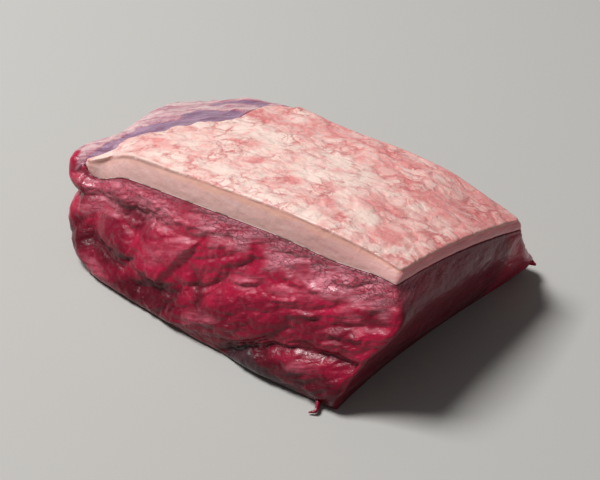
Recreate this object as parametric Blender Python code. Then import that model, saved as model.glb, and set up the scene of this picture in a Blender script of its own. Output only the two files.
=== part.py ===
"""Raw beef roasting joint: a block of lean beef under a cut cap of fat, lying on its base.

The long cut face looks towards -Y, the short knife cut towards +X, and +Z is up. The origin
is under the middle of the joint, on the surface that it lies on. Every size below is in
millimetres or degrees, and the meshes are made in metres.
"""

import bpy
import numpy as np

MM = 0.001

# Driving sizes: the near lower corner of the block, and the crest of the fat
NEAR_X = 83.1
NEAR_Y = -61.9
CREST_HEIGHT = 70.0
FAT_THICKNESS = 11.5
SKIN_STEP = 1.7  # height of the fat's trimmed edge above the bare silverskin
SEAM_GAP = 0.35  # between the lean and the fat that lies on it

# Sections of the block: share of the height, then near right, far right, far left and near
# left corners, each as its distances from the near lower corner and its radius
SECTIONS = [
    (0.00, (1.0, -1.0, 2.5), (9.0, 129.0, 5.0), (-166.0, 127.0, 36.0), (-164.0, 1.0, 22.0)),
    (0.03, (1.0, -2.0, 2.5), (9.5, 131.0, 5.0), (-171.0, 131.0, 36.0), (-167.0, -1.5, 22.0)),
    (0.11, (1.4, -3.0, 2.5), (11.5, 134.0, 5.0), (-178.0, 133.0, 36.0), (-172.0, -2.5, 22.0)),
    (0.20, (3.5, -1.5, 2.5), (12.5, 134.5, 4.0), (-181.0, 132.0, 36.0), (-174.5, -1.0, 22.0)),
    (0.45, (9.5, 6.0, 2.5), (13.0, 127.0, 5.0), (-184.0, 125.0, 36.0), (-179.0, 6.0, 20.0)),
    (0.84, (18.5, 18.5, 2.5), (15.5, 118.5, 5.0), (-186.0, 117.0, 36.0), (-181.0, 15.0, 18.0)),
    (1.00, (12.5, 23.5, 2.5), (17.0, 116.5, 3.0), (-186.0, 116.0, 34.0), (-183.5, 19.0, 16.0)),
]
SIDE_STEPS = (17, 18, 10, 60)  # mesh steps on the right, back, left and front
CORNER_STEPS = (3, 3, 8, 7)
WALL_SHARES = (0.0, 0.015, 0.045, 0.09, 0.14, 0.19, 0.24, 0.295, 0.35, 0.405, 0.46, 0.515,
               0.57, 0.625, 0.68, 0.735, 0.79, 0.84, 0.89, 0.94, 0.98, 1.0)
SHOULDER_SHARES = (0.12, 0.3, 0.6)  # rings of the bare shoulder, on the way to the fat's edge
BED_SHARES = (0.0, 0.12, 0.28, 0.5, 0.75, 1.0)  # rings under the fat, on the way to its core
FRONT_BOW = 4.0
RIGHT_HOLLOW = 4.0  # the right end is hollow in plan near the base

# Muscle lobes on the long face and round its left end: distance along the face from the
# near corner, height, half length, half height, tilt and lift
LOBES = [
    (175, 40, 14, 12, 0, 6.5),
    (152, 39, 20, 8, -6, 2.2),
    (166, 24, 12, 8, 10, 2.8),
    (163, 11, 15, 8, -5, 2.6),
    (140, 23, 19, 9, -8, 3.0),
    (112, 28, 20, 12, 30, 4.5),
    (118, 44, 24, 6, 0, 1.4),
    (134, 6, 26, 8, -12, 1.8),
    (94, 8, 18, 8, 35, 1.8),
    (80, 42, 40, 12, 0, 1.4),
    (58, 22, 40, 12, 24, 3.4),
    (22, 40, 34, 9, 18, 2.8),
    (12, 28, 28, 7, 22, 2.4),
    (28, 11, 30, 9, 20, 4.2),
    (5, 8, 12, 9, 10, 2.2),
    (200, 22, 18, 16, 0, 2.4),
]

# Seams between the muscles: points as (distance along the face, height), depth and width
SEAMS = [
    (((62, 3), (51, 8.5), (35, 16.5), (16, 22), (-6, 23)), 2.4, 4.8),
    (((101, 5), (87, 21), (77, 26), (71, 34), (58, 45)), 2.2, 3.4),
    (((158, 33), (150, 34), (129, 38), (118, 40)), 2.2, 3.6),
    (((158, 14), (146, 16), (132, 17), (124, 20)), 2.2, 3.6),
    (((117, 9), (108, 13), (98, 14), (92, 18)), 3.0, 4.2),
]

# Cell patterns of smaller muscle bundles: size along and across the grain, tilt, depth
LONG_BUNDLES = (32.0, 9.0, 22.0, 1.4)
ROUND_BUNDLES = (17.0, 12.0, 20.0, 1.2)

# The ragged edge where the fat was trimmed off the silverskin, from the back round to the
# front, from the near lower corner; elsewhere the fat ends a little inside the lean's edge
FAT_TRIM = [(-119.0, 112.0), (-131.0, 105.0), (-134.0, 92.0), (-138.0, 78.0), (-139.0, 69.0),
            (-146.0, 57.0), (-153.0, 50.5), (-166.0, 46.0), (-172.5, 36.0), (-172.5, 25.0)]
FAT_SETBACK = 1.3
TAPER = 30.0  # the fat thins to nothing over this distance from its trimmed edge

# How far the fat's upper outline lies inside its lower one
FRONT_SLOPE = 4.4
RIGHT_SLOPE = 1.2
BACK_SLOPE = 0.6
TRIM_SLOPE = 0.8
FAT_TOP_SHARES = (0.02, 0.06, 0.13, 0.24, 0.38, 0.55, 0.76, 1.0)

# The inner outline that the rings of the base and the top run to
CORE_CORNERS = [(-24.0, 52.0), (-24.0, 82.0), (-90.0, 82.0), (-114.0, 38.0)]
CORE_RADII = (3.0, 3.0, 10.0, 6.0)
MIDDLE = np.array([-62.0, 62.0])

# Threads of meat left by the knife: points from the near lower corner, then radii
NEAR_THREAD = [(-12, 5, 4.4), (-8, -2, 3), (-5.6, -5.8, 2.3), (-4.4, -8.6, 1.8), (-6.6, -10.8, 1.1)]
NEAR_THREAD_RADII = (2.6, 2.0, 1.5, 1.2, 0.5)
FAR_THREAD = [(3.5, 123, 11.8), (9.3, 129, 10.8), (13.6, 131, 9.6), (16.8, 131.8, 8.6)]
FAR_THREAD_RADII = (5.5, 3.4, 1.6, 0.5)


def eased(share):
    """A smooth step from 0 to 1."""
    share = np.clip(share, 0, 1)
    return share * share * (3 - 2 * share)


def crown(x, y):
    """Height of the fat's upper surface: an arch along the joint that falls to the back."""
    along = x + 45
    right = 5.0 * (np.maximum(along, 0) / 55.6) ** 2
    left = 9.5 * (np.clip(-along, 0, 125) / 89) ** 1.5
    near_left = 9.0 * eased((-along - 95) / 35) * (1 - 0.8 * eased((y - 25) / 60))
    fall = 14.0 + 5.0 * eased((x + 30) / 46) - 5.0 * eased((-x - 75) / 60)
    drop = fall * (np.maximum(y - 25, 0) / 88) ** 1.6
    return CREST_HEIGHT - right - left - near_left - drop


def distance_to(line, x, y):
    """Distance of each point from a line of straight stretches."""
    nearest = np.full(np.shape(x), np.inf)
    for start, end in zip(line[:-1], line[1:]):
        run = np.subtract(end, start)
        share = ((x - start[0]) * run[0] + (y - start[1]) * run[1]) / (run @ run)
        share = np.clip(share, 0, 1)
        away = np.hypot(x - start[0] - share * run[0], y - start[1] - share * run[1])
        nearest = np.minimum(nearest, away)
    return nearest


def fat_depth(x, y):
    """Thickness of the fat layer: thinner to the right and the back, and at its trimmed edge."""
    right = eased((x + 25) / 40)
    full = FAT_THICKNESS - 6.3 * right
    full = full + (7.0 - 2.2 * right - full) * np.clip((y - 25) / 88, 0, 1)
    trim = np.array(FAT_TRIM)[::-1]
    covered = x > np.interp(y, trim[:, 1], trim[:, 0])
    near_front = eased((45 - y) / 20)
    taper = TAPER * (1 - 0.55 * near_front)
    least = SKIN_STEP + 6.0 * near_front * eased((x + 178) / 14)
    from_trim = np.where(covered, distance_to(FAT_TRIM, x, y), 0.0)
    return least + (full - least) * eased(from_trim / taper)


def jitter(column, row, seed):
    """A fixed random number from 0 to 1 for each cell of a grid."""
    return np.modf(np.abs(np.sin(column * 127.1 + row * 311.7 + seed * 74.7) * 43758.5453))[0]


def cell_pillow(u, v, seed):
    """0 on the borders of a jittered grid's cells, rising to 1 in their middles."""
    column, row = np.floor(u), np.floor(v)
    away = []
    for i in (-1, 0, 1):
        for j in (-1, 0, 1):
            at_u, at_v = column + i, row + j
            centre_u = at_u + jitter(at_u, at_v, seed)
            centre_v = at_v + jitter(at_u, at_v, seed + 1)
            away.append(np.hypot(centre_u - u, centre_v - v))
    away = np.sort(away, axis=0)
    return 1 - np.exp(-3.0 * (away[1] - away[0]))


def drift(u, v, seed):
    """Smooth noise from -1 to 1, with one swell for each unit."""
    column, row = np.floor(u), np.floor(v)
    a, b = eased(u - column), eased(v - row)
    low = jitter(column, row, seed) * (1 - a) + jitter(column + 1, row, seed) * a
    high = jitter(column, row + 1, seed) * (1 - a) + jitter(column + 1, row + 1, seed) * a
    return 2 * (low * (1 - b) + high * b) - 1


def turned(u, v, degrees):
    """The two coordinates in axes that are turned by this angle."""
    c, s = np.cos(np.radians(degrees)), np.sin(np.radians(degrees))
    return u * c + v * s, v * c - u * s


def bundles(along, height, pattern, seed):
    """Relief of one cell pattern of muscle bundles, with its borders as grooves."""
    length, width, tilt, depth = pattern
    u, v = turned(-along, height, tilt)
    v = v + 3.0 * drift(u / 40, v / 25, seed + 5)
    return depth * (cell_pillow(u / length, v / width, seed) - 0.6)


def face_relief(along, height):
    """How far the lean stands out from its smooth sides, in terms of the long face."""
    lift = np.zeros(along.shape)
    for centre, middle, half_length, half_height, tilt, most in LOBES:
        u, v = turned(centre - along, height - middle, tilt)
        reach = np.hypot(u / half_length, v / half_height)
        lift = np.maximum(lift, most * (1 - np.minimum(reach, 1) ** 2.5))
    for line, depth, width in SEAMS:
        groove = np.exp(-((distance_to(line, along, height) / width) ** 2))
        lift = lift - depth * groove
    left = eased((along - 85) / 40)
    lift = lift + (1 - left) * bundles(along, height, LONG_BUNDLES, 11)
    return lift + left * bundles(along, height, ROUND_BUNDLES, 23)


def rounded_outline(corners, radii, side_steps, corner_steps):
    """Points round a convex polygon with rounded corners, counter-clockwise from its first."""
    corners = np.array(corners)
    count = len(corners)
    arcs = []
    for k in range(count):
        here = corners[k]
        back = corners[k - 1] - here
        ahead = corners[(k + 1) % count] - here
        back, ahead = back / np.hypot(*back), ahead / np.hypot(*ahead)
        half = np.arccos(back @ ahead) / 2
        middle = (back + ahead) / np.hypot(*(back + ahead))
        centre = here + middle * radii[k] / np.sin(half)
        facing = np.arctan2(-middle[1], -middle[0])
        sweep = facing + np.linspace(-1, 1, corner_steps[k] + 1) * (np.pi / 2 - half)
        arcs.append(centre + radii[k] * np.column_stack([np.cos(sweep), np.sin(sweep)]))
    points = []
    for k in range(count):
        points.extend(arcs[k])
        start, end = arcs[k][-1], arcs[(k + 1) % count][0]
        for step in range(1, side_steps[k]):
            points.append(start + (end - start) * step / side_steps[k])
    return np.array(points)


def between(shares, values, share):
    """A smooth curve through values at their shares, read at one share."""
    slopes = np.gradient(values, shares, axis=0)
    k = int(np.clip(np.searchsorted(shares, share) - 1, 0, len(shares) - 2))
    span = shares[k + 1] - shares[k]
    t = (share - shares[k]) / span
    return ((2 * t ** 3 - 3 * t ** 2 + 1) * values[k] + (t ** 3 - 2 * t ** 2 + t) * span * slopes[k]
            + (3 * t ** 2 - 2 * t ** 3) * values[k + 1] + (t ** 3 - t ** 2) * span * slopes[k + 1])


def bowed(points):
    """An outline whose long near side is bowed out."""
    near = eased((40 - points[:, 1]) / 15)
    bow = FRONT_BOW * np.sin(np.pi * np.clip(-points[:, 0] / 165, 0, 1)) * near
    return points - np.column_stack([np.zeros(len(bow)), bow])


def section(share):
    """The outline of the block at a share of its height."""
    shares = np.array([row[0] for row in SECTIONS])
    corners = between(shares, np.array([row[1:] for row in SECTIONS]), share)
    points = rounded_outline(corners[:, :2], corners[:, 2], SIDE_STEPS, CORNER_STEPS)
    x, y = points.T
    hollow = RIGHT_HOLLOW * np.sin(np.pi * np.clip(y / 130, 0, 1) ** 0.8) * eased((x + 12) / 12)
    hollow = hollow * (1 - eased(share / 0.45))
    return bowed(points - np.column_stack([hollow, np.zeros(len(hollow))]))


def spaced(line, count):
    """This many points at even distances along a line of straight stretches, without its end."""
    line = np.array(line, float)
    lengths = np.hypot(*np.diff(line, axis=0).T)
    travelled = np.concatenate([[0], np.cumsum(lengths)])
    at = np.linspace(0, travelled[-1], count, endpoint=False)
    return np.column_stack([np.interp(at, travelled, line[:, k]) for k in (0, 1)])


def outward_of(outline):
    """The directions that point out of an outline, level with it."""
    run = np.roll(outline, -1, axis=0) - np.roll(outline, 1, axis=0)
    return np.column_stack([run[:, 1], -run[:, 0]]) / np.hypot(*run.T)[:, None]


def core_outline():
    """The inner outline, with a point for each point of the block's sections."""
    return rounded_outline(CORE_CORNERS, CORE_RADII, SIDE_STEPS, CORNER_STEPS)


def fat_outlines():
    """The fat's lower and upper outlines, with a point for each point of the block's sections."""
    top = section(1.0)
    lower = top - outward_of(top) * FAT_SETBACK
    first = int(np.argmin(np.hypot(*(top - FAT_TRIM[0]).T)))
    last = int(np.argmin(np.hypot(*(top - FAT_TRIM[-1]).T)))
    lower[first:last] = spaced(FAT_TRIM, last - first)
    x, y = lower.T
    front = eased((34 - y) / 9) * eased((x + 176) / 10)
    right = eased((x - 6) / 5)
    back = eased((y - 106) / 6)
    trimmed = (1 - right) * (1 - front) * (1 - back)
    inward_x = TRIM_SLOPE * trimmed - RIGHT_SLOPE * right
    inward_y = FRONT_SLOPE * front - BACK_SLOPE * back
    return lower, lower + np.column_stack([inward_x, inward_y])


def bed_rings(lower, height_at):
    """Rings that cover the bed of the fat, from its lower outline to its middle."""
    core = core_outline()
    outlines = [lower + (core - lower) * share for share in BED_SHARES]
    outlines.append(MIDDLE + (core - MIDDLE) * 0.5)
    return [np.column_stack([outline, height_at(*outline.T)]) for outline in outlines]


def side_weights(outline):
    """Share of each outline point that belongs to the right end, the back and the left end."""
    x, y = outline.T
    right = eased((x - 4) / 6) * eased((y - 8) / 8)
    back = eased((y - 95) / 20)
    left = eased((-x - 150) / 20)
    return right, back * (1 - right), left


def along_face(outline):
    """Distance of each outline point from the near lower corner, along the long face."""
    steps = np.hypot(*(np.roll(outline, -1, axis=0) - outline).T)
    travelled = np.concatenate([[0], np.cumsum(steps)[:-1]])
    along = travelled[-1] - travelled - outline[-1, 0]
    right_count = CORNER_STEPS[0] + SIDE_STEPS[0]
    along[:right_count] = -outline[:right_count, 0]
    return along


def skin_over(rings):
    """The faces of a closed body made of rings of equal length between two poles."""
    count, ring_count = len(rings[0]), len(rings)
    points = np.vstack([rings[0].mean(axis=0)[None], *rings, rings[-1].mean(axis=0)[None]])
    top = len(points) - 1
    faces = []
    for i in range(count):
        after = (i + 1) % count
        faces.append((0, 1 + after, 1 + i))
        for k in range(ring_count - 1):
            low, high = 1 + k * count, 1 + (k + 1) * count
            a, b, c, d = low + i, low + after, high + after, high + i
            if np.linalg.norm(points[a] - points[c]) < np.linalg.norm(points[b] - points[d]):
                faces.extend([(a, b, c), (a, c, d)])
            else:
                faces.extend([(a, b, d), (b, c, d)])
        last = 1 + (ring_count - 1) * count
        faces.append((last + i, last + after, top))
    return points, faces


def add_body(name, points, faces, material):
    """A mesh object from points that are measured from the near lower corner."""
    placed = (points + np.array([NEAR_X, NEAR_Y, 0.0])) * MM
    mesh = bpy.data.meshes.new(name)
    mesh.from_pydata(placed.tolist(), [], faces)
    mesh.materials.append(material)
    mesh.validate()
    mesh.shade_smooth()
    mesh.set_sharp_from_angle(angle=np.radians(50))
    body = bpy.data.objects.new(name, mesh)
    bpy.context.scene.collection.objects.link(body)
    return body


def plain_material(name, colour, roughness):
    """A Principled material with one colour and roughness."""
    material = bpy.data.materials.new(name)
    material.use_nodes = True
    shader = material.node_tree.nodes["Principled BSDF"]
    shader.inputs["Base Color"].default_value = (*colour, 1.0)
    shader.inputs["Roughness"].default_value = roughness
    shader.inputs["Metallic"].default_value = 0.0
    return material


def lean_bed(x, y):
    """Height of the lean's upper surface, which the fat lies on."""
    return crown(x, y) - fat_depth(x, y)


def make_lean(material):
    """The block of muscle: flat base, lobed sides, knife-cut right end and rolled shoulders."""
    top = section(1.0)
    belly = section(0.45)
    right, back, left = side_weights(top)
    edge_radius = 1.5 + 2.5 * back + 8.5 * left * eased((top[:, 1] - 25) / 30)
    edge_height = lean_bed(*top.T) - edge_radius
    outward = outward_of(belly)

    core = core_outline()
    inner = MIDDLE + (core - MIDDLE) * 0.5
    flat = np.zeros(len(core))
    rings = [np.column_stack([inner, flat]), np.column_stack([core, flat])]
    for share in WALL_SHARES:
        height = share * edge_height
        calm = eased(share / 0.12) * eased((1 - share) / 0.07)
        plain = 1 - 0.85 * right
        outline = section(share)
        lift = face_relief(along_face(outline), height) * calm * plain
        outline = outline + outward * lift[:, None]
        rings.append(np.column_stack([outline, height]))
    lower, upper = fat_outlines()
    for share in SHOULDER_SHARES:
        outline = top + (lower - top) * share
        inset = np.hypot(*(outline - top).T)
        depth = np.maximum(edge_radius - inset, 0)
        roll = edge_radius - np.sqrt(edge_radius ** 2 - depth ** 2)
        rings.append(np.column_stack([outline, lean_bed(*outline.T) - roll]))
    rings.extend(bed_rings(lower, lean_bed))
    points, faces = skin_over(rings)
    return add_body("lean", points, faces, material)


def thread(name, line, radii, material):
    """A tapered thread of meat: rings square to a line of points."""
    line = np.array(line, float)
    sides = 8
    rings = []
    for k, centre in enumerate(line):
        run = line[min(k + 1, len(line) - 1)] - line[max(k - 1, 0)]
        run = run / np.linalg.norm(run)
        first = np.cross(run, (0, 0, 1))
        first = first / np.linalg.norm(first)
        second = np.cross(run, first)
        turn = np.linspace(0, 2 * np.pi, sides, endpoint=False)[:, None]
        rings.append(centre + radii[k] * (np.cos(turn) * first + np.sin(turn) * second))
    points, faces = skin_over(rings)
    return add_body(name, points, faces, material)


def join_threads(lean, threads):
    """Fuses the threads to the block with one Boolean union, and removes them."""
    cutters = bpy.data.collections.new("threads")
    bpy.context.scene.collection.children.link(cutters)
    for piece in threads:
        bpy.context.scene.collection.objects.unlink(piece)
        cutters.objects.link(piece)
    union = lean.modifiers.new("fused threads", "BOOLEAN")
    union.operation = "UNION"
    union.operand_type = "COLLECTION"
    union.collection = cutters
    union.solver = "EXACT"
    graph = bpy.context.evaluated_depsgraph_get()
    fused = bpy.data.meshes.new_from_object(lean.evaluated_get(graph))
    lean.modifiers.clear()
    lean.data = fused
    for piece in threads:
        bpy.data.objects.remove(piece)
    bpy.data.collections.remove(cutters)


def make_fat(material):
    """The fat cap: cut square at the front and the right, trimmed to a thin edge at the left."""
    lower, upper = fat_outlines()
    core = core_outline()

    def floor_at(x, y):
        return lean_bed(x, y) + SEAM_GAP

    def roof_at(outline, inset):
        x, y = outline.T
        edge = 1.2 + 2.0 * eased((y - 90) / 20) * eased((8 - x) / 10)
        depth = np.maximum(edge - inset, 0)
        roll = edge - np.sqrt(edge ** 2 - depth ** 2)
        swell = 0.7 * drift(x / 24, y / 18, 41) + 0.35 * drift(x / 11, y / 9, 43)
        room = crown(x, y) - floor_at(x, y)
        return crown(x, y) + swell * np.clip(inset / 6, 0, 1) - np.minimum(roll, 0.6 * room)

    rings = bed_rings(lower, floor_at)[::-1]
    low, high = floor_at(*lower.T), roof_at(upper, 0.0)
    for share in (0.35, 0.7, 1.0):
        outline = lower + (upper - lower) * share
        rings.append(np.column_stack([outline, low + (high - low) * share]))
    for share in FAT_TOP_SHARES:
        outline = upper + (core - upper) * share
        inset = np.hypot(*(outline - upper).T)
        rings.append(np.column_stack([outline, roof_at(outline, inset)]))
    outline = MIDDLE + (core - MIDDLE) * 0.5
    rings.append(np.column_stack([outline, roof_at(outline, np.full(len(outline), 40.0))]))
    points, faces = skin_over(rings)
    return add_body("fat_cap", points, faces, material)


for old in list(bpy.data.objects):
    bpy.data.objects.remove(old)
lean_colour = plain_material("lean", (0.30, 0.02, 0.04), 0.35)
fat_colour = plain_material("fat", (0.80, 0.55, 0.48), 0.45)
block = make_lean(lean_colour)
join_threads(block, [
    thread("near_thread", NEAR_THREAD, NEAR_THREAD_RADII, lean_colour),
    thread("far_thread", FAR_THREAD, FAR_THREAD_RADII, lean_colour),
])
make_fat(fat_colour)
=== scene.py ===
from functools import partial

import bpy
import numpy as np
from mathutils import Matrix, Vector


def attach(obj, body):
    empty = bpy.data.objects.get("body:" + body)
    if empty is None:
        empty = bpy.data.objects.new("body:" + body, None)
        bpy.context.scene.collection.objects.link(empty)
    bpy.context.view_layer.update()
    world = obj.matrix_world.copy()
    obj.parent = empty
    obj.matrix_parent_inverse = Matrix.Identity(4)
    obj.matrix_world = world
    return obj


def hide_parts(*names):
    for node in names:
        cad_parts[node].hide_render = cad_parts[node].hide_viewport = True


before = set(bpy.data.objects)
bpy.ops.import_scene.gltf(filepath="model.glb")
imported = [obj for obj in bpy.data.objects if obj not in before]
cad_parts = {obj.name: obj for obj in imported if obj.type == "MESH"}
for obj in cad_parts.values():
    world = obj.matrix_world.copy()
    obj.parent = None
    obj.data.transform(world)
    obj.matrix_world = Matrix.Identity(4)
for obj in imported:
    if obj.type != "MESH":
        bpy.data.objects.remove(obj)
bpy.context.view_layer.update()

# ---------------------------------------------------------------------------------------------
# The block of lean beef
#
# One boneless block of raw muscle. It was parted from the carcass along its seams on the long
# side, which leaves lobes and spindle-shaped bundles, and cut with one knife stroke at the right
# end. At the upper left the fat is trimmed off down to the purplish silverskin.
# ---------------------------------------------------------------------------------------------

MM = 0.001
NEAR_CORNER = np.array([83.1, -61.9, 0.0])  # place of the block's near lower corner, mm

# The arch of the top: x, y and height of its crest, then for each way down from it the fall,
# the distance that the fall takes and its power
CREST = (-45.0, 25.0, 70.0)
ARCH_RIGHT = (5.0, 55.6, 2.0)
ARCH_LEFT = (9.5, 89.0, 1.5)
ARCH_BACK = (14.0, 88.0, 1.6)
ARCH_BACK_CHANGE = 5.0  # how much more it falls to the back at the right, and less at the left
ARCH_LEFT_END = 125.0  # beyond this distance the arch falls no further
NEAR_LEFT_DROP = 9.0  # how much lower the near left corner is

FAT_FRONT = (11.5, 6.3)  # thickness of the fat along the front, and how much less at the right
FAT_BACK = (7.0, 2.2)  # the same along the back
SKIN_STEP = 1.7  # height of the fat's trimmed edge above the bare silverskin
FRONT_STEP = 6.0  # how much higher that edge is where it nears the front
SEAM_GAP = 0.35  # between the lean and the fat that lies on it

# Sections of the block: share of the height, then near right, far right, far left and near
# left corners, each as its x and y from the near lower corner and its radius
SECTIONS = [
    (0.00, (1.0, -1.0, 2.0), (9.0, 129.0, 5.0), (-166.0, 127.0, 36.0), (-164.0, 1.0, 22.0)),
    (0.03, (1.0, -2.0, 2.2), (9.5, 131.0, 5.0), (-171.0, 131.0, 36.0), (-167.0, -1.5, 22.0)),
    (0.11, (1.4, -3.0, 2.2), (11.5, 134.0, 5.0), (-178.0, 133.0, 36.0), (-172.0, -2.5, 22.0)),
    (0.20, (3.5, -1.5, 2.2), (12.5, 134.5, 4.0), (-181.0, 132.0, 36.0), (-174.5, -1.0, 22.0)),
    (0.45, (9.5, 6.0, 2.2), (13.0, 127.0, 5.0), (-184.0, 125.0, 36.0), (-179.0, 6.0, 20.0)),
    (0.84, (18.5, 18.5, 2.2), (15.5, 118.5, 5.0), (-186.0, 117.0, 36.0), (-181.0, 15.0, 18.0)),
    (1.00, (12.5, 23.5, 2.2), (17.0, 116.5, 3.0), (-186.0, 116.0, 34.0), (-183.5, 19.0, 16.0)),
]
SIDE_STEPS = (136, 74, 50, 300)  # mesh steps on the right, back, left and front
CORNER_STEPS = (10, 6, 34, 24)
# Where the mesh has rings: up the walls, in over the shoulder, and from there to the middle
WALL_SHARES = np.concatenate([[0.0, 0.004, 0.012, 0.022, 0.034], np.linspace(0.046, 0.985, 94),
                              [0.992, 1.0]])
SHOULDER_SHARES = np.linspace(0.04, 0.96, 24)
BED_SHARES = (0.0, 0.12, 0.28, 0.5, 0.75, 1.0)
FRONT_BOW = 4.0  # how far the long face bows out, over this length
FRONT_LENGTH = 165.0
RIGHT_HOLLOW = 4.0  # how far the knife-cut end is hollowed in, over this length
RIGHT_LENGTH = 130.0
HOLLOW_TOP = 0.45  # share of the height at which the hollow has run out
BACK_FOLD = 440.0  # distance round the block at which the back mirrors the near corner

# Muscle lobes on the long face: distance from the near corner, height, half length, half
# height, tilt and lift
LOBES = [
    (176, 38, 18, 11, 0, 4.6), (179, 17, 14, 10, 0, 4.2), (152, 39, 20, 8, -6, 2.3),
    (166, 24, 12, 8, 10, 2.4), (163, 11, 15, 8, -5, 2.2), (140, 23, 19, 9, -8, 3.2),
    (118, 44, 24, 6, 0, 1.2), (134, 6, 26, 8, -12, 1.4), (94, 8, 18, 8, 35, 1.6),
    (80, 42, 40, 12, 0, 1.0), (58, 22, 40, 12, 24, 2.6), (22, 40, 34, 12, 18, 2.2),
    (12, 28, 28, 7, 22, 1.8), (28, 11, 30, 9, 20, 2.7), (5, 8, 12, 9, 10, 1.8),
    (200, 22, 18, 16, 0, 2.4), (210, 9, 15, 8, 10, 2.6), (232, 26, 20, 9, -8, 3.0),
    (230, 9, 16, 7, 6, 2.0), (252, 15, 17, 10, 12, 2.8),
]
# Seams between the muscles: points as (distance along the face, height), depth and width
SEAMS = [
    (((62, 3), (51, 8.5), (35, 16.5), (16, 22), (-6, 23)), 2.8, 2.6),
    (((101, 5), (87, 21), (77, 26), (71, 34), (58, 45)), 1.5, 2.0),
    (((93, 9), (86, 13), (77, 21), (70, 30)), 1.1, 1.6),
    (((158, 33), (150, 34), (129, 38), (118, 40)), 1.6, 2.6),
    (((170, 19), (159, 23), (156, 30)), 1.2, 1.8),
    (((158, 14), (146, 16), (132, 17), (124, 20)), 1.7, 2.4),
    (((117, 9), (108, 13), (98, 14), (92, 18)), 2.4, 3.2),
    (((198, 10), (208, 17), (226, 17), (242, 12)), 1.8, 2.4),
    (((214, 30), (228, 19), (246, 7)), 1.6, 2.2),
]
# Small crisp ridges of membrane that catch the light, in the same terms
RIDGES = [
    (((151, 29), (139, 31.6), (129, 33)), 1.1, 1.1),
    (((132, 46), (112, 46), (104, 44.5), (83, 49)), 0.8, 1.0),
    (((42, 35), (31, 38.5)), 0.9, 0.8),
    (((30, 33), (20, 36.5)), 0.8, 0.8),
    (((26, 45.5), (13, 48.5)), 0.8, 0.8),
    (((37, 43.5), (25, 47)), 0.8, 0.8),
    (((64, 33.5), (53, 37.5)), 0.9, 0.9),
    (((80, 11), (68, 15)), 0.9, 0.9),
    (((15, 27), (3, 30)), 0.8, 0.8),
    (((10, 32), (-4, 35)), 0.9, 0.9),
    (((54, 9), (38, 17), (26, 21)), 0.9, 0.8),
    (((120, 8), (106, 5)), 0.7, 0.9),
]
# One flat, angular lobe stands over its neighbours: corners, each as distance, height and lift
FACET = [(132, 18, 1.4), (119, 38, 4.0), (90, 40, 1.8), (106, 16, 3.8)]
FACET_EDGE = (-2.6, 2.4)  # it drops off between these distances from its outline
# Cell patterns of muscle bundles: size along and across the grain, tilt, depth
LONG_BUNDLES = (32.0, 9.0, 22.0, 1.1)
ROUND_BUNDLES = (17.0, 12.0, 20.0, 0.6)
FINE_BUNDLES = (22.0, 4.8, 20.0, 0.6)
FINE_KNOTS = (9.0, 4.0, -12.0, 0.3)
WRINKLES = (4.6, 2.4, 8.0, 0.55)  # puckered skin at the upper left
END_GRAIN = (22.0, 8.0, 62.0, 0.15)  # faint bundles cut across at the knife-cut end
CREASES = (0.55, 0.35)  # depth of the loose creases at the right and at the left
# The rounded nub at the upper left: distance, half length before and after it, how far out its
# rim is, what it adds to the radius of the rim, and how far its top swells up to the fat
NUB = (181.0, 6.0, 13.0, 7.4, 3.6, 2.2)
NUB_SINK = 0.2  # its rim is lower by this share of how far out it is
NUB_SMOOTHING = 6  # its rim is smoothed over this many mesh steps to each side
NUB_PLACE = (-184.0, 19.0, 5.0)  # where it has no film: x, y and radius
RIM_RADII = (0.8, 2.5, 11.5)  # of the block's upper edge, and what the back and the left add
RIM_DIP = 2.4  # how far the bare rim at the far left sinks
FOOT = (38.0, 26.0, 2.4)  # the foot of the long face stands out: distance, half length, how far
FOOT_LEDGE = 1.2  # and this much along the middle of the face
FAR_FLARE = (18.0, 13.0, 3.5)  # flare of the far right corner: height, half height, lift
FLARE_STEPS = 7  # its half length, in mesh steps
BACK_LIFT = 0.8  # depth of the back's relief beside the front's
BACK_RANGE = (262.0, 282.0)  # distances between which it takes over from the left end's
BED_GAP = 0.1  # the meat under the fat lies this much lower still

# Patches of the long face: distance, height, half length, half height, tilt
# The pale ones are paler tissue in places and painted highlights on wet facets in others
PALE_AND_HIGHLIGHT_PATCHES = [
    (2, 41, 7, 3, -12), (18, 15, 7, 2, 12), (60, 36, 9, 3, 22),
    (106, 31, 14, 5, 30), (160, 38, 11, 7, 0), (76, 13, 9, 3, 22),
    (122, 45, 16, 3, -4), (30, 42, 16, 2.5, 18), (146, 6, 12, 3, -10), (226, 28, 12, 3, -8),
    (206, 12, 10, 3, 10), (250, 18, 10, 3, 12),
]
# The dark ones are painted shade in recesses and seams, and in places a deeper red
DARK_PATCHES = [
    (135, 36, 20, 4, -8), (104, 13, 11, 5, 0), (146, 16, 15, 4, -6), (116, 8, 12, 4, 0),
    (36, 26, 26, 5, 20), (4, 8, 14, 6, 8), (166, 14, 10, 6, 0), (82, 22, 10, 3, -52),
    (64, 20, 16, 6, 24), (36, 8, 22, 5, 14), (170, 30, 8, 4, 0), (140, 22, 14, 4, -8),
    (22, 28, 14, 4, 20), (52, 28, 12, 4, 22), (5, 33, 9, 5, 10), (140, 27, 12, 4, -8),
    (-8, 45, 9, 5, 40), (216, 17, 16, 3, 0), (238, 8, 14, 4, -30), (200, 30, 10, 4, 0),
]
# Low swells of the knife-cut end: distance from the near corner, then as for the lobes
END_SWELLS = [
    (20, 7, 26, 5, 10, 1.4), (62, 8, 28, 5, 4, 1.2), (108, 26, 20, 14, 40, 2.2),
    (72, 34, 34, 10, 6, 1.0), (20, 36, 12, 14, 25, 1.6), (40, 22, 24, 6, 14, 0.8),
]

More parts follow.
